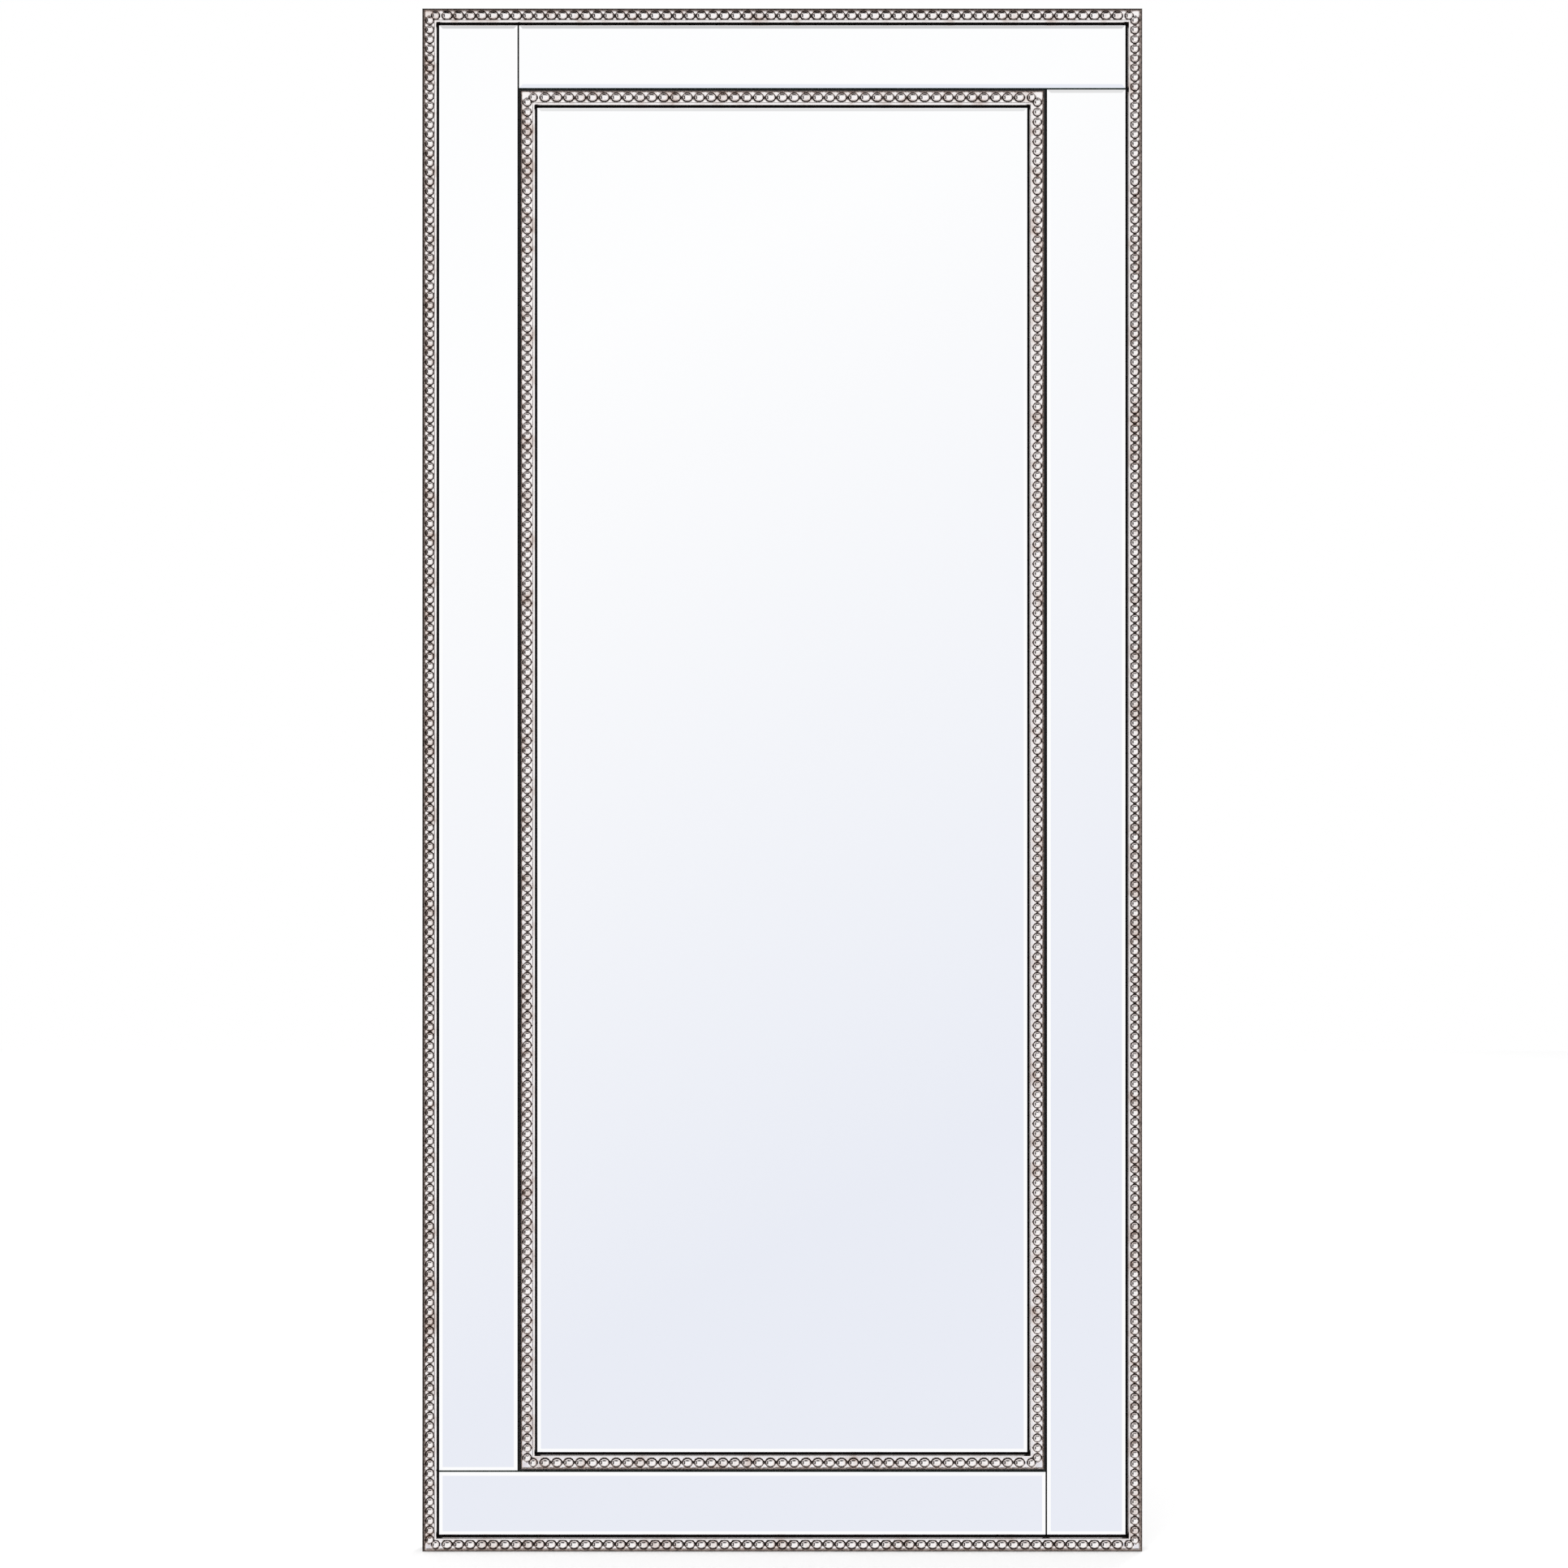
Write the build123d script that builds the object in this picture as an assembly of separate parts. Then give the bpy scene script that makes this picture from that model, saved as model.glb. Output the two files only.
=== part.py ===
"""Wall mirror with a bead-moulded frame: bevelled glasses on a backing board, hung from two D-rings.

Millimetres. +Z is up and the mirror looks towards -Y. The origin is the centre of the mirror on the
wall, so the wall is the plane y = 0 and depths are counted from it towards the viewer.
"""

import os

from build123d import *

# Overall size of the framed mirror
mirror_width = 711.0
mirror_height = 1524.0

# Depths, from the wall forwards
bumper_height = 6.5
board_thickness = 12.0
tape_thickness = 0.8
glass_thickness = 4.0

# Face widths of the mouldings, and of the border between them
outer_moulding_width = 15.0
inner_moulding_width = 16.5
border_side_width = 80.5
border_end_width = 65.0

# Section of the mouldings, shared by the outer and the inner one
channel_height = 5.6
edge_height = 6.6
crest_radius = 1.1
cove_width = 1.5
cove_sag = 0.35
leg_thickness = 6.0
leg_reveal = 1.0

# Beads along the mouldings. A waist is the straight middle of a bead that is longer than a ball.
bead_radius = 3.7
neck_radius = 1.5
upright_waist = 0.0
cross_waist = 2.0
outer_upright_pitch = 9.4
outer_cross_pitch = 11.5
inner_upright_pitch = 9.7
inner_cross_pitch = 11.8

# Glass, and the dark gaps beside the mouldings and between the glasses
moulding_gap = 1.6
seam_gap = 1.6
bevel_width = 3.5
bevel_depth = 0.9

# Foam tape
tape_width = 15.0
tape_inset = 8.0
border_tape_runs = 2
centre_tape_runs = 4

# Brads and V-nails
brad_radius = 0.6
brad_sink = 0.6
side_brad_length = 22.0
back_brad_length = 15.0
side_brad_spacing = 280.0
back_brad_spacing = 250.0
nail_leg = 5.0
nail_thickness = 0.6
nail_height = 4.0

# Hangers: a strap curled round a D-shaped ring, placed by the ring's pivot
hanger_inset = 75.5
hanger_drop = 250.0
strap_width = 12.0
strap_thickness = 1.2
eye_clearance = 0.1
eye_lift = 0.2
ring_wire_radius = 1.5
ring_half_width = 11.5
ring_corner_radius = 3.5
ring_side = 5.0
ring_strap_clearance = 1.5
screw_radius = 2.0
screw_tip = 1.0
screw_hole_clearance = 0.2
screw_head_radius = 3.8
screw_head_height = 2.2
screw_head_round = 1.1
screw_length = 10.0
screw_spacing = 12.0
recess_length = 4.2
recess_width = 0.9
recess_depth = 1.3

# Bumpers
bumper_radius = 7.0
bumper_inset = 25.0
bumper_edge_radius = 1.0

# Depths and outlines that follow from the sizes above
cos_45 = 0.5**0.5
board_back = bumper_height
board_front = board_back + board_thickness
glass_back = board_front + tape_thickness
glass_front = glass_back + glass_thickness
overall_depth = board_front + channel_height + bead_radius
board_x = mirror_width / 2 - leg_thickness
board_z = mirror_height / 2 - leg_thickness
field_x = mirror_width / 2 - outer_moulding_width
field_z = mirror_height / 2 - outer_moulding_width
inner_frame_x = field_x - border_side_width
inner_frame_z = field_z - border_end_width
centre_x = inner_frame_x - inner_moulding_width
centre_z = inner_frame_z - inner_moulding_width

# Edges of the glasses. Each border glass runs past the next, so the seams turn like a pinwheel.
outer_x = field_x - moulding_gap
outer_z = field_z - moulding_gap
inner_x = inner_frame_x + moulding_gap
inner_z = inner_frame_z + moulding_gap
seam_x = inner_x - seam_gap
seam_z = inner_z - seam_gap
centre_glass_x = centre_x - moulding_gap
centre_glass_z = centre_z - moulding_gap
border_edges = {
    "top": (-seam_x, outer_x, inner_z, outer_z),
    "right": (inner_x, outer_x, -outer_z, seam_z),
    "bottom": (-outer_x, seam_x, -outer_z, -inner_z),
    "left": (-outer_x, -inner_x, -seam_z, outer_z),
}
centre_edges = (-centre_glass_x, centre_glass_x, -centre_glass_z, centre_glass_z)

# Places of the hangers, and of the screws below each pivot, clear of the ring that hangs there
hanger_x = mirror_width / 2 - hanger_inset
hanger_sides = {"left": -hanger_x, "right": hanger_x}
eye_radius = ring_wire_radius + eye_clearance + strap_thickness
pivot_depth = board_back - eye_lift - eye_radius
pivot_z = mirror_height / 2 - hanger_drop
ring_reach = ring_corner_radius + ring_side + ring_half_width + ring_wire_radius
first_screw = ring_reach + ring_strap_clearance + screw_head_radius
screw_drops = (first_screw, first_screw + screw_spacing)


def spaced(length, spacing):
    """Centres along a length, evenly spaced and symmetric, about one spacing apart."""
    count = max(2, round(length / spacing) + 1)
    step = length / count
    return [step * (i + 0.5) - length / 2 for i in range(count)]


def slab(x0, x1, z0, z1, back, front):
    """A plain block between two depths."""
    block = Box(x1 - x0, front - back, z1 - z0)
    return Pos((x0 + x1) / 2, -(back + front) / 2, (z0 + z1) / 2) * block


def without(shape, others):
    """A shape with the holes that other pieces need in it."""
    for other in others:
        shape = shape - other
    return shape


def four_sides(half_x, half_z, cross, upright):
    """A piece of each side of a frame, made from one piece for the ends and one for the sides."""
    return {
        "top": Pos(0, 0, half_z) * cross,
        "bottom": Pos(0, 0, -half_z) * Rot(0, 180, 0) * cross,
        "right": Pos(half_x, 0, 0) * Rot(0, 90, 0) * upright,
        "left": Pos(-half_x, 0, 0) * Rot(0, -90, 0) * upright,
    }


# Mouldings: a mitred stick with a round crest along each edge and a channel between them, and a
# string of beads that is glued into the channel

def face_outline(width):
    """Edges of the moulding's face, from the foot of its outer edge to the foot of its inner edge.

    The first coordinate runs inwards from the outer edge, the second forwards from the board.
    """
    crest = 2 * crest_radius
    floor_edge = crest + cove_width
    sag_at = cove_width / 2
    cove_mid = (channel_height + edge_height) / 2 - cove_sag
    return [
        ThreePointArc((0, edge_height), (crest_radius, edge_height + crest_radius), (crest, edge_height)),
        ThreePointArc((crest, edge_height), (crest + sag_at, cove_mid), (floor_edge, channel_height)),
        Line((floor_edge, channel_height), (width - floor_edge, channel_height)),
        ThreePointArc(
            (width - floor_edge, channel_height),
            (width - crest - sag_at, cove_mid),
            (width - crest, edge_height),
        ),
        ThreePointArc(
            (width - crest, edge_height),
            (width - crest_radius, edge_height + crest_radius),
            (width, edge_height),
        ),
    ]


def outer_section():
    """L-shaped section: the face lies on the board and the leg covers the board's edge."""
    leg_end = leg_reveal - board_thickness
    foot = Polyline(
        (outer_moulding_width, edge_height),
        (outer_moulding_width, 0),
        (leg_thickness, 0),
        (leg_thickness, leg_end),
        (0, leg_end),
        (0, edge_height),
    )
    return make_face(Wire(face_outline(outer_moulding_width) + foot.edges()))


def inner_section():
    """Flat-backed section that is glued to the face of the board."""
    foot = Polyline((inner_moulding_width, edge_height), (inner_moulding_width, 0), (0, 0), (0, edge_height))
    return make_face(Wire(face_outline(inner_moulding_width) + foot.edges()))


def mitre_wedge(width, length):
    """The space between the two mitre planes of a stick whose outer edge lies at z = 0."""
    mitre = Polygon(
        (-length / 2, 0),
        (length / 2, 0),
        (length / 2 - width, -width),
        (-length / 2 + width, -width),
        align=None,
    )
    return extrude(Plane.XZ * mitre, amount=2 * overall_depth, dir=(0, -1, 0))


def moulding_stick(section, width, length):
    """A stick along X with its outer edge at z = 0, its width downwards and its ends mitred."""
    across = Plane(origin=(length / 2, -board_front, 0), x_dir=(0, 0, -1), z_dir=(-1, 0, 0))
    return extrude(across * section, amount=length) & mitre_wedge(width, length)


def bead_outline(start, pitch, waist):
    """One bead with a half neck at each end: a ball, drawn out in its middle by the waist."""
    middle = start + pitch / 2
    ball_half = (bead_radius**2 - neck_radius**2) ** 0.5
    slant = bead_radius * cos_45
    bead_from = (middle - waist / 2 - ball_half, neck_radius)
    bead_to = (middle + waist / 2 + ball_half, neck_radius)
    ends = [Line((start, neck_radius), bead_from), Line(bead_to, (start + pitch, neck_radius))]
    if waist == 0:
        return ends + [ThreePointArc(bead_from, (middle, bead_radius), bead_to)]
    top_from = (middle - waist / 2, bead_radius)
    top_to = (middle + waist / 2, bead_radius)
    return ends + [
        ThreePointArc(bead_from, (top_from[0] - slant, slant), top_from),
        Line(top_from, top_to),
        ThreePointArc(top_to, (top_to[0] + slant, slant), bead_to),
    ]


def bead_string(width, length, wanted_pitch, waist):
    """Half-round beads, flat side down in the channel of a stick along X, mitred with it."""
    run = length - width
    count = round(run / wanted_pitch)
    pitch = run / count
    outline = []
    for i in range(count):
        outline += bead_outline(i * pitch - run / 2, pitch, waist)
    base = Polyline((run / 2, neck_radius), (run / 2, 0), (-run / 2, 0), (-run / 2, neck_radius))
    flat = make_face(Wire(outline + base.edges()))
    beads = Rot(90, 0, 0) * revolve(flat, Axis.X, 180)
    return Pos(0, -board_front - channel_height, -width / 2) * beads & mitre_wedge(width, length)


def beaded_frame(name, half_x, half_z, section, width, cross_pitch, upright_pitch, fasteners):
    """The four sticks of a frame, with holes for what fastens them, and their strings of beads."""
    cross = moulding_stick(section, width, 2 * half_x)
    upright = moulding_stick(section, width, 2 * half_z)
    cross_beads = bead_string(width, 2 * half_x, cross_pitch, cross_waist)
    upright_beads = bead_string(width, 2 * half_z, upright_pitch, upright_waist)
    pieces = {}
    for side, stick in four_sides(half_x, half_z, cross, upright).items():
        pieces[f"{name}_moulding_{side}"] = without(stick, fasteners)
    for side, beads in four_sides(half_x, half_z, cross_beads, upright_beads).items():
        pieces[f"{name}_beading_{side}"] = beads
    return pieces


# V-nails: one across each mitre, pressed in from the back of the sticks

def v_nails(half_x, half_z, width):
    """A V of sheet steel at each corner, its point on the mitre towards the outer corner."""
    leg = Pos(nail_leg / 2, 0, 0) * Rectangle(nail_leg, nail_thickness)
    vee = Rot(0, 0, 180) * leg + Rot(0, 0, 270) * leg + Rectangle(nail_thickness, nail_thickness)
    nail = extrude(vee, amount=nail_height)
    nails = []
    for side_x in (-1, 1):
        for side_z in (-1, 1):
            turn = {(1, 1): 0, (-1, 1): 90, (-1, -1): 180, (1, -1): 270}[(side_x, side_z)]
            x = side_x * (half_x - width / 2)
            z = side_z * (half_z - width / 2)
            nails.append(Pos(x, -board_front, z) * Rot(90, 0, 0) * Rot(0, 0, turn) * nail)
    return nails


# Brads: headless pins, sunk a little below the surface that they are driven through

def brad(length):
    """One pin from its sunk top at z = 0 downwards."""
    return Pos(0, 0, -length / 2) * Cylinder(brad_radius, length)


def side_brads():
    """Pins through the outer moulding's leg into the board's edge."""
    pin = brad(side_brad_length)
    depth = (board_back + board_front) / 2
    x = mirror_width / 2 - brad_sink
    z = mirror_height / 2 - brad_sink
    pins = []
    for along in spaced(2 * field_z, side_brad_spacing):
        pins.append(Pos(x, -depth, along) * Rot(0, 90, 0) * pin)
        pins.append(Pos(-x, -depth, along) * Rot(0, -90, 0) * pin)
    for along in spaced(2 * field_x, side_brad_spacing):
        pins.append(Pos(along, -depth, z) * pin)
        pins.append(Pos(along, -depth, -z) * Rot(180, 0, 0) * pin)
    return pins


def back_brads():
    """Pins through the board from behind into the inner moulding."""
    pin = Pos(0, -board_back - brad_sink, 0) * Rot(-90, 0, 0) * brad(back_brad_length)
    x = inner_frame_x - inner_moulding_width / 2
    z = inner_frame_z - inner_moulding_width / 2
    pins = []
    for along in spaced(2 * centre_z, back_brad_spacing):
        pins.append(Pos(x, 0, along) * pin)
        pins.append(Pos(-x, 0, along) * pin)
    for along in spaced(2 * centre_x, back_brad_spacing):
        pins.append(Pos(along, 0, z) * pin)
        pins.append(Pos(along, 0, -z) * pin)
    return pins


# Glass: bevelled on all four front edges, and held by runs of foam tape

def bevelled_glass(x0, x1, z0, z1):
    """A mirror glass between two sides and two ends."""
    width = x1 - x0
    height = z1 - z0
    bevel_back = glass_front - bevel_depth
    low = Rectangle(width, height)
    high = Pos(0, 0, bevel_depth) * Rectangle(width - 2 * bevel_width, height - 2 * bevel_width)
    bevel = loft([low.face(), high.face()])
    bevel = Pos((x0 + x1) / 2, -bevel_back, (z0 + z1) / 2) * Rot(90, 0, 0) * bevel
    return slab(x0, x1, z0, z1, glass_back, bevel_back) + bevel


def tape_runs(x0, x1, z0, z1, runs):
    """Runs of foam tape along the longer way of a glass, spread evenly between its edges."""
    upright = z1 - z0 > x1 - x0
    low, high = (x0, x1) if upright else (z0, z1)
    first = low + tape_inset
    step = (high - tape_inset - tape_width - first) / (runs - 1)
    tapes = []
    for i in range(runs):
        near = first + i * step
        far = near + tape_width
        if upright:
            tapes.append(slab(near, far, z0 + tape_inset, z1 - tape_inset, board_front, glass_back))
        else:
            tapes.append(slab(x0 + tape_inset, x1 - tape_inset, near, far, board_front, glass_back))
    return tapes


# Hangers: everything is made about the pivot, with the ring hanging straight down

def hanger_strap():
    """A steel strip, screwed flat to the board, with its top end curled into an eye for the ring."""
    eye = Rot(0, 90, 0) * Cylinder(eye_radius, strap_width)
    bore = Rot(0, 90, 0) * Cylinder(ring_wire_radius + eye_clearance, 2 * strap_width)
    straight = screw_drops[-1]
    flat = Pos(0, -straight / 2) * Rectangle(strap_width, straight)
    flat += Pos(0, -straight) * Circle(strap_width / 2)
    for drop in screw_drops:
        flat -= Pos(0, -drop) * Circle(screw_radius + screw_hole_clearance)
    back = pivot_depth - board_back
    leg = Pos(0, back, 0) * extrude(Rot(90, 0, 0) * flat, amount=-strap_thickness)
    return leg + (eye - bore)


def hanger_ring():
    """A ring of round wire: a straight bar in the eye, two short sides and a round bow."""
    bar_end = ring_half_width - ring_corner_radius
    side_end = ring_corner_radius + ring_side
    corner_mid = ring_corner_radius * (1 - cos_45)
    bow_mid = ring_half_width * cos_45
    path = Wire([
        Line((0, 0), (bar_end, 0)),
        ThreePointArc(
            (bar_end, 0),
            (ring_half_width - corner_mid, -corner_mid),
            (ring_half_width, -ring_corner_radius),
        ),
        Line((ring_half_width, -ring_corner_radius), (ring_half_width, -side_end)),
        ThreePointArc(
            (ring_half_width, -side_end),
            (bow_mid, -side_end - bow_mid),
            (0, -side_end - ring_half_width),
        ),
    ])
    wire_section = Plane.YZ * Circle(ring_wire_radius)
    half = Rot(90, 0, 0) * sweep(wire_section, path=path)
    return half + mirror(half, about=Plane.YZ)


def strap_screw():
    """A pan-head screw with a cross recess, its head resting at z = 0 and its shank downwards."""
    head = Pos(0, 0, screw_head_height / 2) * Cylinder(screw_head_radius, screw_head_height)
    head = fillet(head.edges().group_by(Axis.Z)[-1], screw_head_round)
    shank = Pos(0, 0, -screw_length / 2) * Cylinder(screw_radius, screw_length)
    shank = chamfer(shank.edges().group_by(Axis.Z)[0], screw_tip)
    recess_middle = screw_head_height - recess_depth / 2
    recess = Box(recess_length, recess_width, recess_depth) + Box(recess_width, recess_length, recess_depth)
    return head + shank - Pos(0, 0, recess_middle) * recess


def strap_screws():
    """Two screws in each strap."""
    screw = Rot(-90, 0, 0) * strap_screw()
    face = board_back - strap_thickness
    return [Pos(x, -face, pivot_z - drop) * screw for x in hanger_sides.values() for drop in screw_drops]


# Bumpers: rubber pads that stand the back off the wall

def bumper(side_x, side_z):
    """A round pad near a corner of the board, with its rim rounded where it meets the wall."""
    pad = Pos(0, 0, bumper_height / 2) * Cylinder(bumper_radius, bumper_height)
    pad = fillet(pad.edges().group_by(Axis.Z)[-1], bumper_edge_radius)
    x = side_x * (board_x - bumper_inset)
    z = side_z * (board_z - bumper_inset)
    return Pos(x, -board_back, z) * Rot(-90, 0, 0) * pad


def build():
    """All the pieces, by node name."""
    pieces = {}
    outer_nails = v_nails(mirror_width / 2, mirror_height / 2, outer_moulding_width)
    inner_nails = v_nails(inner_frame_x, inner_frame_z, inner_moulding_width)
    edge_pins = side_brads()
    back_pins = back_brads()
    screws = strap_screws()

    pieces |= beaded_frame(
        "outer",
        mirror_width / 2,
        mirror_height / 2,
        outer_section(),
        outer_moulding_width,
        outer_cross_pitch,
        outer_upright_pitch,
        outer_nails + edge_pins,
    )
    pieces |= beaded_frame(
        "inner",
        inner_frame_x,
        inner_frame_z,
        inner_section(),
        inner_moulding_width,
        inner_cross_pitch,
        inner_upright_pitch,
        inner_nails + back_pins,
    )
    pieces["outer_v_nails"] = Compound(outer_nails)
    pieces["inner_v_nails"] = Compound(inner_nails)
    pieces["side_brads"] = Compound(edge_pins)
    pieces["back_brads"] = Compound(back_pins)

    for side, edges in border_edges.items():
        pieces[f"border_glass_{side}"] = bevelled_glass(*edges)
        pieces[f"border_tape_{side}"] = Compound(tape_runs(*edges, border_tape_runs))
    pieces["centre_glass"] = bevelled_glass(*centre_edges)
    pieces["centre_tape"] = Compound(tape_runs(*centre_edges, centre_tape_runs))

    board = slab(-board_x, board_x, -board_z, board_z, board_back, board_front)
    pieces["backing_board"] = without(board, edge_pins + back_pins + screws)

    strap = hanger_strap()
    ring = hanger_ring()
    for side, x in hanger_sides.items():
        pieces[f"hanger_strap_{side}"] = Pos(x, -pivot_depth, pivot_z) * strap
        pieces[f"hanger_ring_{side}"] = Pos(x, -pivot_depth, pivot_z) * ring
    pieces["hanger_screws"] = Compound(screws)

    for level, side_z in (("upper", 1), ("lower", -1)):
        for side, side_x in (("left", -1), ("right", 1)):
            pieces[f"bumper_{level}_{side}"] = bumper(side_x, side_z)
    return pieces


os.makedirs("parts", exist_ok=True)
for node, piece in build().items():
    export_step(piece, f"parts/{node}.step")
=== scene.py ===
"""Looks of the wall mirror, built around its packed construction. Metres, +Z up, the glass faces -Y."""

import math

import bmesh
import bpy
import numpy as np
from mathutils import Matrix, Vector


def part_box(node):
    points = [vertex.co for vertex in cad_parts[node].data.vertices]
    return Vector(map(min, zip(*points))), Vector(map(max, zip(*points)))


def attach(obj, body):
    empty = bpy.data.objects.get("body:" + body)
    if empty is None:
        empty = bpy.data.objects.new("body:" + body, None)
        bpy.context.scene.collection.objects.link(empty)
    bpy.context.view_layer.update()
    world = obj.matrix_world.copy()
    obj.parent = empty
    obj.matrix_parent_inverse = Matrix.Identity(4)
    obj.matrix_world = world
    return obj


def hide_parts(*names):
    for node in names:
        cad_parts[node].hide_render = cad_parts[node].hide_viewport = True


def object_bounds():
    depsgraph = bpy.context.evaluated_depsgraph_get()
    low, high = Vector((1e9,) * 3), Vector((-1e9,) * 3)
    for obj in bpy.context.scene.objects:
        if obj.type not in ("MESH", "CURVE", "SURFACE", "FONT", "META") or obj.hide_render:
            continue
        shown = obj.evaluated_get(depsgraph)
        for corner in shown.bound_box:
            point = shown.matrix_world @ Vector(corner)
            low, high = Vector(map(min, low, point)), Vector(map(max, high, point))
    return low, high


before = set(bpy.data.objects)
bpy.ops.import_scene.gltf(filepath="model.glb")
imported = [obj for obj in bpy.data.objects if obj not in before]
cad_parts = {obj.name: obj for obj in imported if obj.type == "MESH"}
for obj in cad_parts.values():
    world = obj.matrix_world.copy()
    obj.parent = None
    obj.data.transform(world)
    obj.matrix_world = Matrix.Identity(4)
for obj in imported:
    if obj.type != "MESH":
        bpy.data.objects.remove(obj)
construction_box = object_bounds()

# The five mirror glasses: 4 mm float glass, silvered behind, with a polished bevel along each edge.
# They are held to the board by foam tape, and a narrow dark gap is left round each one.
SIDES = ("top", "right", "bottom", "left")
SILVER = (0.985, 0.988, 0.995, 1)
GLASS_EDGE = (0.10, 0.20, 0.17, 1)
BACK_PAINT = (0.30, 0.31, 0.32, 1)
FACING = 0.5
HANDLING_HAZE = 0.012
PAINTED_ROUGHNESS = 0.5


def new_material(name):
    """A material with an empty tree but for its output and one principled surface."""
    material = bpy.data.materials.new(name)
    material.use_nodes = True
    tree = material.node_tree
    tree.nodes.clear()
    output = tree.nodes.new("ShaderNodeOutputMaterial")
    surface = tree.nodes.new("ShaderNodeBsdfPrincipled")
    tree.links.new(surface.outputs["BSDF"], output.inputs["Surface"])
    return material, tree, surface


def fill(tree, node, **inputs):
    """Sets the named or numbered inputs of a node to values, or links them to sockets."""
    for key, value in inputs.items():
        socket = node.inputs[int(key[1:])] if key[1:].isdigit() else node.inputs[key.replace("_", " ")]
        if isinstance(value, bpy.types.NodeSocket):
            tree.links.new(value, socket)
        else:
            socket.default_value = value


def add_node(tree, kind, settings=None, **inputs):
    """A node with its settings made and its inputs filled."""
    node = tree.nodes.new(kind)
    for key, value in (settings or {}).items():
        setattr(node, key, value)
    fill(tree, node, **inputs)
    return node


def math_node(tree, operation, first, second=0.0, third=0.0):
    """The output of one Math node."""
    node = add_node(tree, "ShaderNodeMath", {"operation": operation}, i0=first, i1=second, i2=third)
    return node.outputs["Value"]


def ramp(tree, factor, *stops):
    """A colour ramp with its stops given as pairs of position and colour."""
    node = add_node(tree, "ShaderNodeValToRGB", Fac=factor)
    elements = node.color_ramp.elements
    while len(elements) < len(stops):
        elements.new(0.5)
    for element, (position, colour) in zip(elements, stops):
        element.position = position
        element.color = colour
    return node.outputs["Color"]


def blend_colours(tree, share, first, second):
    """One colour at a share of 0, the other at 1."""
    return add_node(tree, "ShaderNodeMix", {"data_type": "RGBA"}, i0=share, i6=first, i7=second).outputs[2]


def object_noise(tree, scale, detail=3.0, roughness=0.55, stretch=(1, 1, 1)):
    """Noise over the object's own coordinates."""
    where = add_node(tree, "ShaderNodeTexCoord")
    mapping = add_node(tree, "ShaderNodeMapping", Vector=where.outputs["Object"], Scale=stretch)
    noise = add_node(
        tree,
        "ShaderNodeTexNoise",
        Vector=mapping.outputs["Vector"],
        Scale=scale,
        Detail=detail,
        Roughness=roughness,
    )
    return noise.outputs["Fac"]


def mirror_glass_material():
    """Silvered glass: bright from the front and on its bevels, sea green at its edges, painted behind."""
    material, tree, surface = new_material("silvered_glass")
    facing = add_node(tree, "ShaderNodeTexCoord").outputs["Normal"]
    towards_wall = add_node(tree, "ShaderNodeSeparateXYZ", Vector=facing).outputs["Y"]
    front = math_node(tree, "LESS_THAN", towards_wall, -FACING)
    back = math_node(tree, "GREATER_THAN", towards_wall, FACING)
    colour = blend_colours(tree, front, blend_colours(tree, back, GLASS_EDGE, BACK_PAINT), SILVER)
    haze = math_node(tree, "MULTIPLY", object_noise(tree, 5.0, 4.0), HANDLING_HAZE)
    rough = math_node(tree, "ADD", haze, math_node(tree, "MULTIPLY", back, PAINTED_ROUGHNESS))
    fill(tree, surface, Base_Color=colour, Metallic=front, Roughness=rough)
    return material


def dress(node, material):
    """Gives a piece of the construction its finish."""
    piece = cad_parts[node]
    piece.data.materials.clear()
    piece.data.materials.append(material)


silvered_glass = mirror_glass_material()
for side in SIDES:
    dress(f"border_glass_{side}", silvered_glass)
dress("centre_glass", silvered_glass)

# The backing board: 12 mm fibreboard, sprayed matt black so that the gaps between the glasses stay dark.
# Its back shows the fine tooth of the paint and a few paler rubs.
BOARD_PAINT = (0.018, 0.016, 0.016, 1)
BOARD_RUB = (0.040, 0.036, 0.034, 1)
BOARD_ROUGHNESS = 0.75
BOARD_TOOTH = 0.0003


def grain(tree, height, strength, depth):
    """A normal that follows a fine grain, its depth given in metres."""
    bump = add_node(tree, "ShaderNodeBump", Strength=strength, Distance=depth, Height=height)
    return bump.outputs["Normal"]


def board_material():
    """Matt black paint over fibreboard."""
    material, tree, surface = new_material("black_board_paint")
    rubs = object_noise(tree, 6.0, 6.0, 0.7)
    colour = ramp(tree, rubs, (0.45, BOARD_PAINT), (0.8, BOARD_RUB))
    tooth = grain(tree, object_noise(tree, 900.0, 2.0), 0.25, BOARD_TOOTH)
    fill(tree, surface, Base_Color=colour, Roughness=BOARD_ROUGHNESS, Normal=tooth)
    return material


dress("backing_board", board_material())

# The mouldings: eight mitred sticks of composition-coated wood. Each has a rounded outer slope, a round
# inner lip and a row of sockets pressed between them. The face is silver-leafed, then washed dark brown
# and wiped. Its colour is darkened in the sockets, on the slope and on the walls beside the glass: partly
# the brown wash, and partly painted shade, near black in the sockets, at the inner sticks' slope foot and
# on the walls.
MERGE_REACH = 0.000005
SLIVER = 0.000002
SHARP_ANGLE = 50
SLOPE_FOOT = 0.0042
SLOPE_WIDTH = 0.0032
CREST_HEIGHT = 0.0075
CREST_DROP = 0.0005
FACE_HEIGHT = 0.0060
LIP_WIDTH = 0.0024
EDGE_WIDTH = 0.0008
EDGE_STEP = 0.0001
ROUND_STEPS = 6
SOCKET_FLOOR = 0.0042
SOCKET_RADIUS = 0.0047
SOCKET_SLOPE = 0.0008
SOCKET_COLUMNS = 14
STEPS_PER_BEAD = 12
CROSS_WAIST = 0.002
PITCH = {
    ("outer", True): 0.0094,
    ("outer", False): 0.0115,
    ("inner", True): 0.0097,
    ("inner", False): 0.0118,
}
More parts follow.
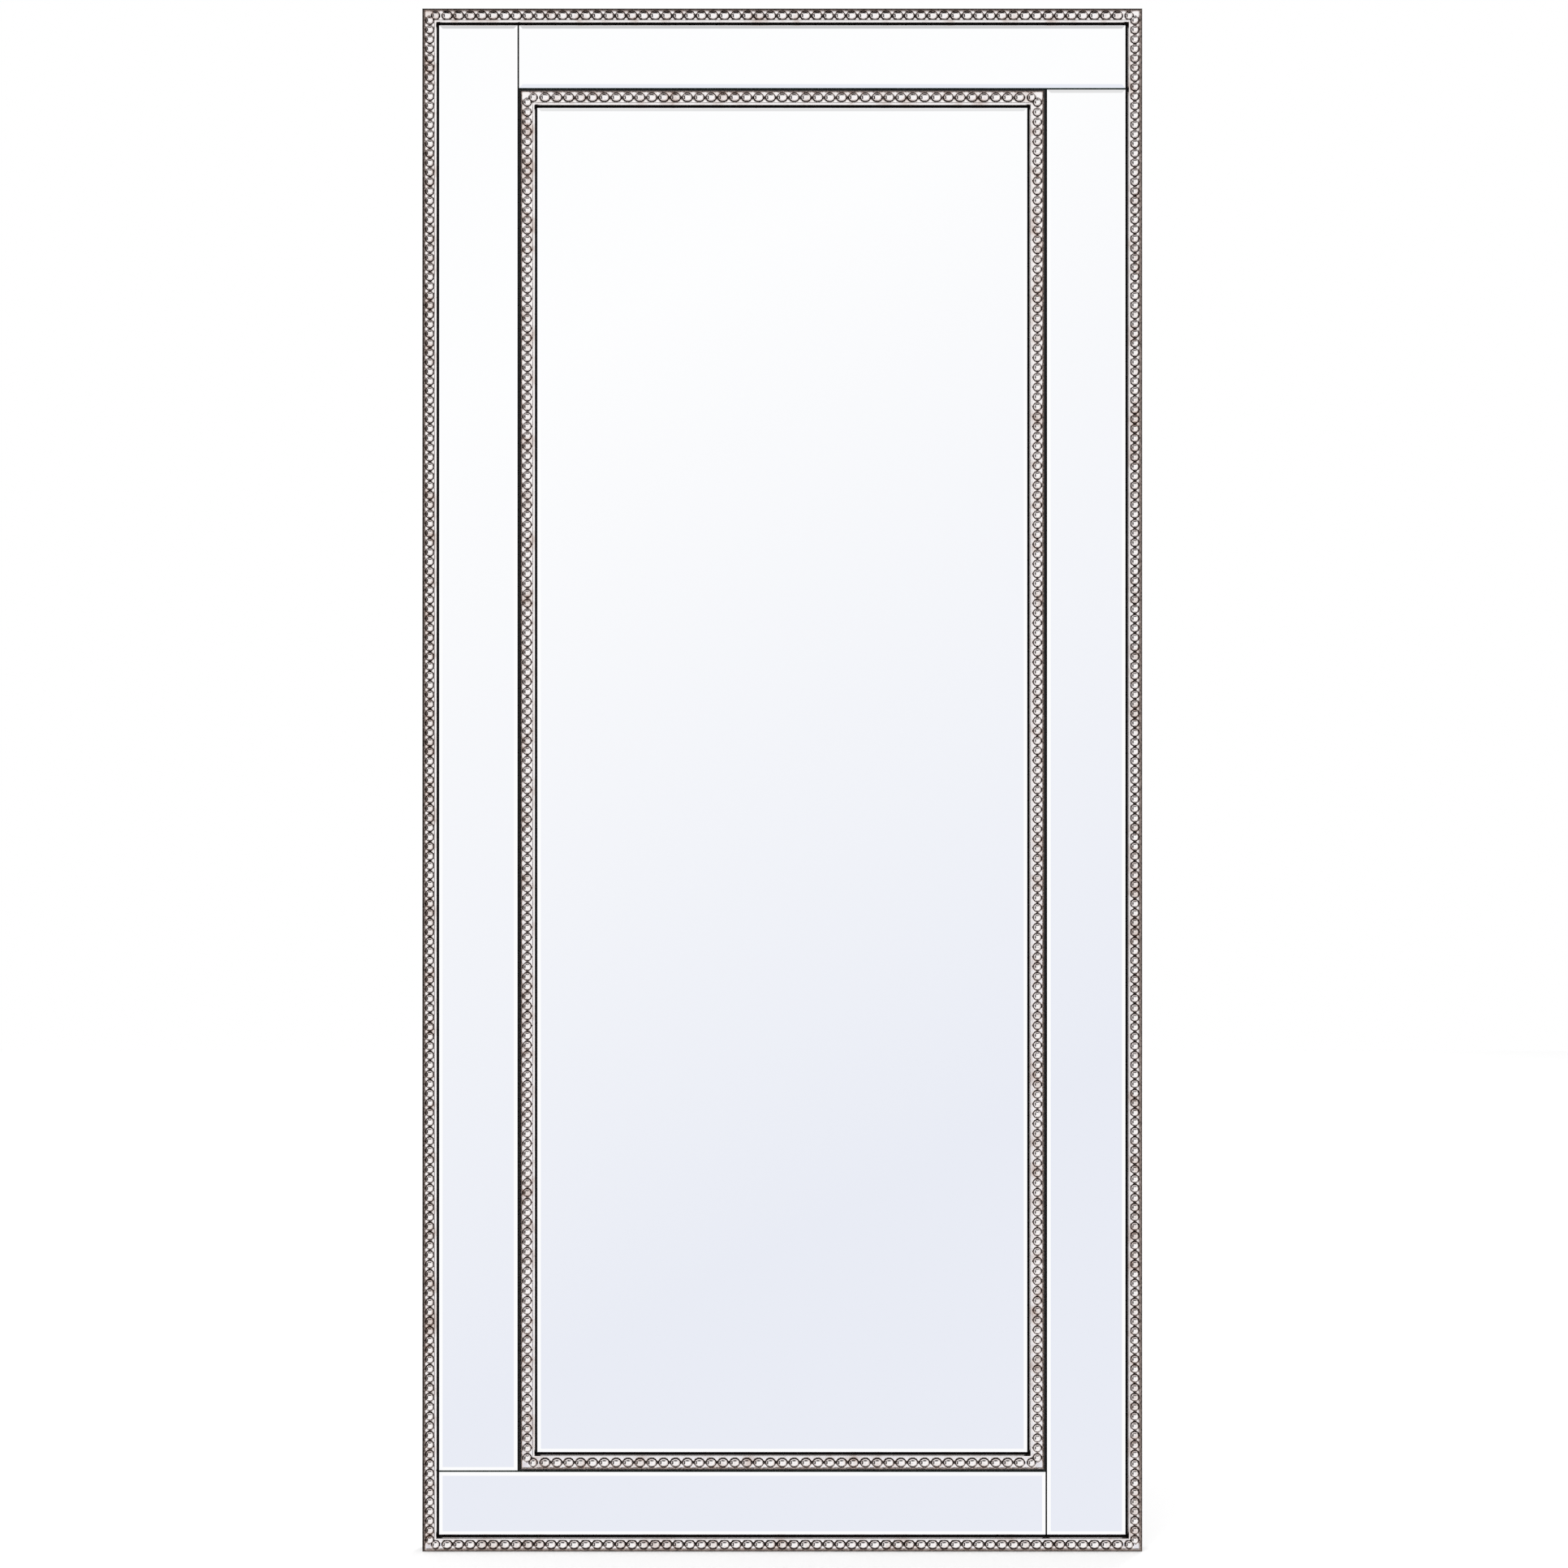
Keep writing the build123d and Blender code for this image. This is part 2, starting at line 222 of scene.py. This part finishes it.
# How dark the slope is coloured from its foot, through its middle, to its crest: brown wash, and painted
# shade that is darkest at the foot.
SLOPE_WASH_AND_PAINTED_SHADE = {"outer": (0.72, 0.66, 0.55), "inner": (1.0, 0.86, 0.56)}
# The walls and the hidden foot are coloured near black: painted shade on the wall beside the glass, where
# the gap's shadow falls, and black paint on the leg and foot.
WALL_BLACK_AND_PAINTED_SHADE = 1.0
LEAF_BRIGHT = (0.97, 0.935, 0.925, 1)
LEAF_WARM = (0.73, 0.64, 0.60, 1)
WASH_THIN = (0.290, 0.228, 0.200, 1)
# Near black: the wash left thick in the socket floors, together with painted shade there, at the slope foot
# and on the walls.
THICK_WASH_AND_PAINTED_SHADE = (0.016, 0.012, 0.011, 1)
LEAF_ROUGHNESS = 0.12
LEAF_BREAK_DEPTH = 0.0002

board_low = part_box("backing_board")[0]
board_front = board_low.y


class Stick:
    """Where one side of a frame lies, worked out from its piece of the construction."""

    def __init__(self, ring, side):
        low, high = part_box(f"{ring}_moulding_{side}")
        self.ring = ring
        self.side = side
        self.upright = side in ("left", "right")
        self.length = (high.z - low.z) if self.upright else (high.x - low.x)
        self.width = (high.x - low.x) if self.upright else (high.z - low.z)
        self.back = high.y
        self.run = self.length - self.width
        self.beads = round(self.run / PITCH[ring, self.upright])
        self.pitch = self.run / self.beads
        self.waist = 0.0 if self.upright else CROSS_WAIST
        turn = {"top": 0, "right": 90, "bottom": 180, "left": 270}[side]
        outer_edge = {"top": (0, high.z), "right": (high.x, 0), "bottom": (0, low.z), "left": (low.x, 0)}
        x, z = outer_edge[side]
        self.place = Matrix.Translation((x, board_front, z)) @ Matrix.Rotation(math.radians(turn), 4, "Y")


def face_points(stick):
    """The face of a stick's section: distances inwards from the outer edge, heights, and the darkening by
    wash and painted shade.
    """
    slope = []
    for i in range(ROUND_STEPS + 1):
        part = i / ROUND_STEPS
        height = SLOPE_FOOT + (CREST_HEIGHT - SLOPE_FOOT) * math.sin(math.pi / 2 * part)
        wash_and_painted_shade = np.interp(part, (0, 0.5, 1), SLOPE_WASH_AND_PAINTED_SHADE[stick.ring])
        slope.append((SLOPE_WIDTH * part, height, wash_and_painted_shade))
    near = SLOPE_WIDTH + CREST_DROP
    edge = stick.width - EDGE_WIDTH
    far = edge - LIP_WIDTH
    step = (far - near) / SOCKET_COLUMNS
    field = [(near + step * i, FACE_HEIGHT, 0.0) for i in range(SOCKET_COLUMNS + 1)]
    half = [math.pi * i / ROUND_STEPS for i in range(1, ROUND_STEPS + 1)]
    bulge = CREST_HEIGHT - FACE_HEIGHT
    middle = edge - LIP_WIDTH / 2
    lip = [(middle - LIP_WIDTH / 2 * math.cos(a), FACE_HEIGHT + bulge * math.sin(a), 0.0) for a in half]
    # The wall beside the glass is coloured near black: painted shade where the gap's shadow falls.
    chamfer = [(edge + EDGE_STEP, FACE_HEIGHT - EDGE_STEP, WALL_BLACK_AND_PAINTED_SHADE), (stick.width, SLOPE_FOOT, WALL_BLACK_AND_PAINTED_SHADE)]
    return slope + field + lip + chamfer


def foot_points(stick):
    """The hidden rest of the section. An outer stick has a leg that covers the board's edge."""
    if stick.ring == "inner":
        return [(stick.width, 0.0, WALL_BLACK_AND_PAINTED_SHADE), (0.0, 0.0, WALL_BLACK_AND_PAINTED_SHADE)]
    leg = stick.back - board_front
    leg_width = board_low.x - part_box("outer_moulding_left")[0].x
    return [
        (stick.width, 0.0, WALL_BLACK_AND_PAINTED_SHADE),
        (leg_width, 0.0, WALL_BLACK_AND_PAINTED_SHADE),
        (leg_width, -leg, WALL_BLACK_AND_PAINTED_SHADE),
        (0.0, -leg, WALL_BLACK_AND_PAINTED_SHADE),
    ]


def socket_share(stick, along, inwards):
    """How far a point lies inside a socket, from 0 on the face to 1 on the socket's floor."""
    bead = np.clip(np.floor((along + stick.run / 2) / stick.pitch), 0, stick.beads - 1)
    from_bead = along + stick.run / 2 - (bead + 0.5) * stick.pitch
    at_mitre = (bead == 0) | (bead == stick.beads - 1)
    waist = np.where(at_mitre, 0, stick.waist)
    past_waist = np.maximum(np.abs(from_bead) - waist / 2, 0)
    distance = np.hypot(past_waist, inwards - stick.width / 2)
    share = np.clip((SOCKET_RADIUS - distance) / SOCKET_SLOPE, 0, 1)
    return share * share * (3 - 2 * share)


def carved_stick(stick, material):
    """One stick as a closed mesh, with its sockets, its mitred ends, and its darkening by wash and painted
    shade as an attribute.
    """
    loop = np.array(face_points(stick) + foot_points(stick))
    faced = len(face_points(stick))
    columns = len(loop)
    step = stick.pitch / STEPS_PER_BEAD
    half_steps = math.ceil(stick.length / 2 / step)
    rows = 2 * half_steps + 1
    inwards = np.tile(loop[:, 0], (rows, 1))
    height = np.tile(loop[:, 1], (rows, 1))
    wash_and_painted_shade = np.tile(loop[:, 2], (rows, 1))
    mitre = stick.length / 2 - inwards
    along = np.clip((np.arange(rows) - half_steps)[:, None] * step, -mitre, mitre)
    share = socket_share(stick, along, inwards)
    share[:, :ROUND_STEPS] = 0
    share[:, faced:] = 0
    height = height - share * np.maximum(height - SOCKET_FLOOR, 0)
    # The sockets are darkened: the wash gathered in them, and painted shade.
    wash_and_painted_shade = np.maximum(wash_and_painted_shade, share)
    points = np.stack([along, -height, -inwards], axis=-1).reshape(-1, 3)

    quads = []
    for row in range(rows - 1):
        for column in range(columns):
            after = (column + 1) % columns
            here = row * columns
            there = here + columns
            quads.append((here + column, here + after, there + after, there + column))
    last = (rows - 1) * columns
    ends = [tuple(reversed(range(columns))), tuple(range(last, last + columns))]
    mesh = bpy.data.meshes.new(f"{stick.ring}_stick_{stick.side}")
    mesh.from_pydata(points.tolist(), [], quads + ends)
    layer = mesh.attributes.new("wash_and_painted_shade", "FLOAT", "POINT")
    layer.data.foreach_set("value", wash_and_painted_shade.astype(np.float32).ravel())
    mesh.transform(stick.place)
    close_mesh(mesh)
    mesh.materials.append(material)
    piece = bpy.data.objects.new(f"{stick.ring}_carved_{stick.side}", mesh)
    bpy.context.scene.collection.objects.link(piece)
    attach(piece, "mirror")
    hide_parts(f"{stick.ring}_moulding_{stick.side}")


def close_mesh(mesh):
    """Merges the points that the mitre drew together, and turns all faces outwards."""
    shape = bmesh.new()
    shape.from_mesh(mesh)
    bmesh.ops.remove_doubles(shape, verts=shape.verts, dist=MERGE_REACH)
    bmesh.ops.dissolve_degenerate(shape, edges=shape.edges, dist=SLIVER)
    bmesh.ops.recalc_face_normals(shape, faces=shape.faces)
    for polygon in shape.faces:
        polygon.smooth = True
    shape.to_mesh(mesh)
    shape.free()
    mesh.set_sharp_from_angle(angle=math.radians(SHARP_ANGLE))


def grey(value):
    """An opaque grey."""
    return (value, value, value, 1)


def leaf_material(name, with_wash_and_shade):
    """Champagne silver leaf, rubbed bright where it stands out.

    The wash is brown where it was wiped thin, and nearly black where it stayed thick. The near black also
    stands as painted shade in the sockets, at the slope foot and on the walls beside the glass.
    """
    material, tree, surface = new_material(name)
    breaks = object_noise(tree, 420.0, 4.0, 0.6)
    clouds = object_noise(tree, 55.0, 3.0)
    leaf = ramp(tree, clouds, (0.30, LEAF_WARM), (0.50, LEAF_BRIGHT))
    wear = ramp(tree, breaks, (0.26, grey(0.5)), (0.38, grey(0.0)))
    if with_wash_and_shade:
        # The attribute holds the darkening by wash and painted shade given to the sockets, the slope and
        # the walls.
        recess = add_node(tree, "ShaderNodeAttribute", {"attribute_name": "wash_and_painted_shade"}).outputs["Fac"]
        mottled = math_node(tree, "MULTIPLY_ADD", breaks, 0.5, recess)
        thin = ramp(tree, mottled, (0.45, grey(0.0)), (0.85, grey(1.0)))
        thick_wash_and_shade = ramp(tree, mottled, (0.85, grey(0.0)), (1.10, grey(1.0)))
        amount = math_node(tree, "MAXIMUM", thin, wear)
        wash_and_painted_shade = blend_colours(tree, thick_wash_and_shade, WASH_THIN, THICK_WASH_AND_PAINTED_SHADE)
    else:
        amount = wear
        wash_and_painted_shade = WASH_THIN
    colour = blend_colours(tree, amount, leaf, wash_and_painted_shade)
    metal = math_node(tree, "MULTIPLY_ADD", amount, -0.25, 1.0)
    rough = math_node(tree, "MULTIPLY_ADD", amount, 0.25, LEAF_ROUGHNESS)
    rough = math_node(tree, "MULTIPLY_ADD", breaks, 0.10, rough)
    torn = grain(tree, breaks, 0.12, LEAF_BREAK_DEPTH)
    fill(tree, surface, Base_Color=colour, Metallic=metal, Roughness=rough, Normal=torn)
    return material


leafed_stick = leaf_material("silver_leaf_with_wash_and_painted_shade", True)
sticks = [Stick(ring, side) for ring in ("outer", "inner") for side in SIDES]
for stick in sticks:
    carved_stick(stick, leafed_stick)

# The beads: pearls of the same composition, one pressed into each socket and rubbed brighter than the
# sticks. They are balls on the uprights, and a little drawn out on the top and bottom sticks, but for
# the two beside the mitres, which are balls as well.
BEAD_RADIUS = 0.0037
BEAD_HEIGHT = 0.0056
BALL_SEGMENTS = 12
BALL_RINGS = 7


def bead_row_tree():
    """Balls along a line: a ball for each point, made real and given its finish."""
    tree = bpy.data.node_groups.new("bead_row", "GeometryNodeTree")
    interface = tree.interface
    for label, kind in (
        ("Beads", "NodeSocketInt"),
        ("Pitch", "NodeSocketFloat"),
        ("Radius", "NodeSocketFloat"),
        ("Stretch", "NodeSocketFloat"),
        ("Finish", "NodeSocketMaterial"),
    ):
        interface.new_socket(label, in_out="INPUT", socket_type=kind)
    interface.new_socket("Geometry", in_out="OUTPUT", socket_type="NodeSocketGeometry")
    given = tree.nodes.new("NodeGroupInput").outputs
    half_row = math_node(tree, "MULTIPLY_ADD", given["Beads"], -0.5, 0.5)
    first = add_node(tree, "ShaderNodeCombineXYZ", X=math_node(tree, "MULTIPLY", half_row, given["Pitch"]))
    pace = add_node(tree, "ShaderNodeCombineXYZ", X=given["Pitch"])
    row = add_node(
        tree,
        "GeometryNodeMeshLine",
        Count=given["Beads"],
        Start_Location=first.outputs["Vector"],
        Offset=pace.outputs["Vector"],
    )
    ball = add_node(
        tree,
        "GeometryNodeMeshUVSphere",
        Segments=BALL_SEGMENTS,
        Rings=BALL_RINGS,
        Radius=given["Radius"],
    )
    number = tree.nodes.new("GeometryNodeInputIndex").outputs["Index"]
    is_first = math_node(tree, "LESS_THAN", number, 0.5)
    is_last = math_node(tree, "LESS_THAN", math_node(tree, "SUBTRACT", given["Beads"], number), 1.5)
    at_mitre = math_node(tree, "MAXIMUM", is_first, is_last)
    drawn = math_node(tree, "SUBTRACT", given["Stretch"], 1.0)
    drawn = math_node(tree, "MULTIPLY", drawn, math_node(tree, "SUBTRACT", 1.0, at_mitre))
    size = add_node(tree, "ShaderNodeCombineXYZ", X=math_node(tree, "ADD", drawn, 1.0), Y=1.0, Z=1.0)
    beads = add_node(
        tree,
        "GeometryNodeInstanceOnPoints",
        Points=row.outputs["Mesh"],
        Instance=ball.outputs["Mesh"],
        Scale=size.outputs["Vector"],
    )
    real = add_node(tree, "GeometryNodeRealizeInstances", Geometry=beads.outputs["Instances"])
    smooth = add_node(tree, "GeometryNodeSetShadeSmooth", Geometry=real.outputs["Geometry"])
    finished = add_node(
        tree, "GeometryNodeSetMaterial", Geometry=smooth.outputs["Geometry"], Material=given["Finish"]
    )
    output = tree.nodes.new("NodeGroupOutput")
    tree.links.new(finished.outputs["Geometry"], output.inputs["Geometry"])
    return tree


def grown_mesh(name, tree, values):
    """The plain mesh that a node tree makes from its named values."""
    carrier = bpy.data.objects.new(name, bpy.data.meshes.new(name))
    bpy.context.scene.collection.objects.link(carrier)
    modifier = carrier.modifiers.new("grow", "NODES")
    modifier.node_group = tree
    for item in tree.interface.items_tree:
        if item.in_out == "INPUT" and item.name in values:
            modifier[item.identifier] = values[item.name]
    graph = bpy.context.evaluated_depsgraph_get()
    mesh = bpy.data.meshes.new_from_object(carrier.evaluated_get(graph))
    bpy.data.objects.remove(carrier)
    return mesh


leafed_bead = leaf_material("silver_leaf_rubbed_bright", False)
bead_row = bead_row_tree()
for stick in sticks:
    values = {
        "Beads": stick.beads,
        "Pitch": stick.pitch,
        "Radius": BEAD_RADIUS,
        "Stretch": 1 + stick.waist / 2 / BEAD_RADIUS,
        "Finish": leafed_bead,
    }
    beads = grown_mesh(f"{stick.ring}_beads_{stick.side}", bead_row, values)
    beads.transform(stick.place @ Matrix.Translation((0, -BEAD_HEIGHT, -stick.width / 2)))
    piece = bpy.data.objects.new(f"{stick.ring}_beads_{stick.side}", beads)
    bpy.context.scene.collection.objects.link(piece)
    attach(piece, "mirror")
    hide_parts(f"{stick.ring}_beading_{stick.side}")

# Foam tape between the board and the glasses, and the steel brads and V-nails that hold the sticks.
# All of it is hidden once the mirror is together.
FOAM = (0.78, 0.77, 0.72, 1)
FOAM_CELL = (0.62, 0.61, 0.57, 1)
FOAM_ROUGHNESS = 0.9
PIN_BRIGHT = (0.62, 0.61, 0.60, 1)
PIN_DULL = (0.38, 0.37, 0.37, 1)
SCRATCH_DEPTH = 0.0001


def foam_material():
    """Closed-cell foam."""
    material, tree, surface = new_material("foam_tape")
    where = add_node(tree, "ShaderNodeTexCoord").outputs["Object"]
    cells = add_node(tree, "ShaderNodeTexVoronoi", Vector=where, Scale=1800.0).outputs["Distance"]
    colour = ramp(tree, cells, (0.1, FOAM_CELL), (0.5, FOAM))
    fill(tree, surface, Base_Color=colour, Roughness=FOAM_ROUGHNESS)
    return material


def steel_material(name, bright, dull, scratch_scale, roughness):
    """Drawn or plated steel, with fine scratches and a slightly uneven tone."""
    material, tree, surface = new_material(name)
    tone = object_noise(tree, 160.0, 4.0, 0.6)
    scratches = object_noise(tree, scratch_scale, 2.0, 0.5, (1.0, 1.0, 0.08))
    colour = ramp(tree, tone, (0.35, dull), (0.65, bright))
    rough = math_node(tree, "MULTIPLY_ADD", scratches, 0.2, roughness)
    scored = grain(tree, scratches, 0.08, SCRATCH_DEPTH)
    fill(tree, surface, Base_Color=colour, Metallic=1.0, Roughness=rough, Normal=scored)
    return material


foam = foam_material()
for side in SIDES:
    dress(f"border_tape_{side}", foam)
dress("centre_tape", foam)
pin_steel = steel_material("drawn_pin_steel", PIN_BRIGHT, PIN_DULL, 2400.0, 0.25)
for group in ("outer_v_nails", "inner_v_nails", "side_brads", "back_brads"):
    dress(group, pin_steel)

# The hangers: zinc-plated strap with its end curled round the wire of a D-ring, and two pan-head
# screws through each strap into the board.
ZINC_BRIGHT = (0.86, 0.86, 0.85, 1)
ZINC_DULL = (0.66, 0.67, 0.68, 1)
zinc_plate = steel_material("zinc_plate", ZINC_BRIGHT, ZINC_DULL, 1500.0, 0.22)
for side in ("left", "right"):
    dress(f"hanger_strap_{side}", zinc_plate)
    dress(f"hanger_ring_{side}", zinc_plate)
dress("hanger_screws", zinc_plate)

# The bumpers: moulded rubber pads, stuck near the corners of the board's back.
RUBBER = (0.030, 0.030, 0.032, 1)
RUBBER_DUST = (0.085, 0.082, 0.080, 1)
RUBBER_ROUGHNESS = 0.8
RUBBER_GRAIN = 0.0002


def rubber_material():
    """Matt black rubber with a little dust."""
    material, tree, surface = new_material("bumper_rubber")
    dust = object_noise(tree, 260.0, 5.0, 0.7)
    colour = ramp(tree, dust, (0.5, RUBBER), (0.8, RUBBER_DUST))
    skin = grain(tree, dust, 0.2, RUBBER_GRAIN)
    fill(tree, surface, Base_Color=colour, Roughness=RUBBER_ROUGHNESS, Normal=skin)
    return material


rubber = rubber_material()
for level in ("upper", "lower"):
    for side in ("left", "right"):
        dress(f"bumper_{level}_{side}", rubber)

# The camera: square on to the glass, with the picture's frame a little larger than the mirror.
# The frame's size and middle come from the outline's place in a picture of 1932 pixels a side.
PICTURE = 1932
OUTLINE_LEFT, OUTLINE_RIGHT = 520.6, 1407.2
OUTLINE_TOP, OUTLINE_BOTTOM = 10.5, 1911.6
CAMERA_DISTANCE = 2.2
SENSOR_WIDTH = 36.0
low, high = construction_box
outline_depth = board_front - SLOPE_FOOT
metres_a_pixel = (high.z - low.z) / (OUTLINE_BOTTOM - OUTLINE_TOP)
frame_side = PICTURE * metres_a_pixel
frame_x = (PICTURE - OUTLINE_LEFT - OUTLINE_RIGHT) / 2 * metres_a_pixel
frame_z = (OUTLINE_TOP + OUTLINE_BOTTOM - PICTURE) / 2 * metres_a_pixel
camera_data = bpy.data.cameras.new("camera")
camera_data.sensor_width = SENSOR_WIDTH
camera_data.lens = SENSOR_WIDTH * (CAMERA_DISTANCE + outline_depth) / frame_side
camera_data.shift_x = frame_x / frame_side
camera_data.shift_y = frame_z / frame_side
camera = bpy.data.objects.new("camera", camera_data)
camera.location = (0, -CAMERA_DISTANCE, 0)
camera.rotation_euler = (math.radians(90), 0, 0)
bpy.context.scene.collection.objects.link(camera)
bpy.context.scene.camera = camera

# The studio: a white surround with a pale violet-grey screen before the glass, low and to the right.
# Overhead and to the left it is nearly black, and behind the mirror's plane it is a warm grey. The
# bright leaf shows these as its dark lines.
SURROUND = (1.0, 1.0, 1.0, 1)
SCREEN = (0.827, 0.849, 0.918, 1)
OVERHEAD = (0.020, 0.017, 0.018, 1)
BEHIND = (0.420, 0.390, 0.375, 1)
# The screen's edges are tangents of the angle from straight ahead, the others parts of a unit length.
SCREEN_SLANT = -0.55
SCREEN_TOP = (0.25, -0.21)
SCREEN_FOOT = (-0.60, -0.42)
SCREEN_SIDES = (0.36, 0.22)
BEHIND_FROM = (-0.15, 0.35)
DARK_OVERHEAD = (0.66, 0.84)
DARK_LEFT = (-0.61, -0.80)
DULL_LIGHT = 0.75
FLOOR_REACH = 4.0
FLOOR_PAINT = 0.82
FLOOR_GLOW = 0.35


def fade(tree, value, start, end, kind="SMOOTHSTEP"):
    """From 0 to 1 as a value goes from its start to its end."""
    node = add_node(
        tree, "ShaderNodeMapRange", {"interpolation_type": kind}, Value=value, From_Min=start, From_Max=end
    )
    return node.outputs["Result"]


def studio_world():
    """White to the eye, even light on dull surfaces, and the surround in whatever shines."""
    world = bpy.data.worlds.new("studio")
    bpy.context.scene.world = world
    world.use_nodes = True
    tree = world.node_tree
    tree.nodes.clear()
    direction = add_node(tree, "ShaderNodeTexCoord").outputs["Generated"]
    way = add_node(tree, "ShaderNodeSeparateXYZ", Vector=direction).outputs
    ahead = math_node(tree, "MAXIMUM", math_node(tree, "MULTIPLY", way["Y"], -1.0), 0.05)
    across = math_node(tree, "DIVIDE", way["X"], ahead)
    up = math_node(tree, "DIVIDE", way["Z"], ahead)
    tint = fade(tree, math_node(tree, "MULTIPLY_ADD", across, SCREEN_SLANT, up), *SCREEN_TOP, "LINEAR")
    above_foot = fade(tree, up, *SCREEN_FOOT)
    within = fade(tree, math_node(tree, "ABSOLUTE", across), *SCREEN_SIDES)
    tint = math_node(tree, "MULTIPLY", math_node(tree, "MULTIPLY", tint, above_foot), within)
    shiny = blend_colours(tree, tint, SURROUND, SCREEN)
    shiny = blend_colours(tree, fade(tree, way["Y"], *BEHIND_FROM), shiny, BEHIND)
    overhead = fade(tree, way["Z"], *DARK_OVERHEAD)
    dark = math_node(tree, "MAXIMUM", overhead, fade(tree, way["X"], *DARK_LEFT))
    shiny = blend_colours(tree, dark, shiny, OVERHEAD)
    path = add_node(tree, "ShaderNodeLightPath").outputs
    seen_shiny = math_node(tree, "MAXIMUM", path["Is Glossy Ray"], path["Is Transmission Ray"])
    dull = blend_colours(tree, path["Is Camera Ray"], grey(DULL_LIGHT), grey(1.0))
    colour = blend_colours(tree, seen_shiny, dull, shiny)
    background = add_node(tree, "ShaderNodeBackground", Color=colour, Strength=1.0)
    output = tree.nodes.new("ShaderNodeOutputWorld")
    tree.links.new(background.outputs["Background"], output.inputs["Surface"])


def studio_floor():
    """A pale floor just below the mirror. What shines sees past it to the surround."""
    mesh = bpy.data.meshes.new("floor")
    turns = ((-1, -1), (1, -1), (1, 1), (-1, 1))
    corners = [(x * FLOOR_REACH, y * FLOOR_REACH, low.z) for x, y in turns]
    mesh.from_pydata(corners, [], [(0, 1, 2, 3)])
    material = bpy.data.materials.new("floor_paint")
    material.use_nodes = True
    tree = material.node_tree
    tree.nodes.clear()
    path = add_node(tree, "ShaderNodeLightPath").outputs
    paint = add_node(tree, "ShaderNodeBsdfDiffuse", Color=grey(FLOOR_PAINT)).outputs["BSDF"]
    glow = add_node(tree, "ShaderNodeEmission", Color=grey(1.0), Strength=FLOOR_GLOW).outputs["Emission"]
    lit = add_node(tree, "ShaderNodeAddShader", i0=paint, i1=glow).outputs["Shader"]
    eye = add_node(tree, "ShaderNodeMixShader", Fac=path["Is Camera Ray"], i1=paint, i2=lit)
    clear = add_node(tree, "ShaderNodeBsdfTransparent").outputs["BSDF"]
    seen_shiny = math_node(tree, "MAXIMUM", path["Is Glossy Ray"], path["Is Transmission Ray"])
    surface = add_node(tree, "ShaderNodeMixShader", Fac=seen_shiny, i1=eye.outputs["Shader"], i2=clear)
    output = tree.nodes.new("ShaderNodeOutputMaterial")
    tree.links.new(surface.outputs["Shader"], output.inputs["Surface"])
    mesh.materials.append(material)
    floor = bpy.data.objects.new("floor", mesh)
    bpy.context.scene.collection.objects.link(floor)


def soft_lamp(name, place, side, watts):
    """A square lamp that points at the mirror's middle and doesn't show in what shines."""
    data = bpy.data.lights.new(name, "AREA")
    data.size = side
    data.energy = watts
    lamp = bpy.data.objects.new(name, data)
    lamp.location = place
    lamp.rotation_mode = "QUATERNION"
    lamp.rotation_quaternion = Vector(place).to_track_quat("Z", "Y")
    lamp.visible_glossy = False
    bpy.context.scene.collection.objects.link(lamp)


studio_world()
studio_floor()
soft_lamp("key_lamp", (-2.0, -3.0, 2.2), 1.6, 45.0)
soft_lamp("back_lamp", (1.6, 2.6, 1.8), 1.6, 35.0)
bpy.context.scene.view_settings.view_transform = "Standard"
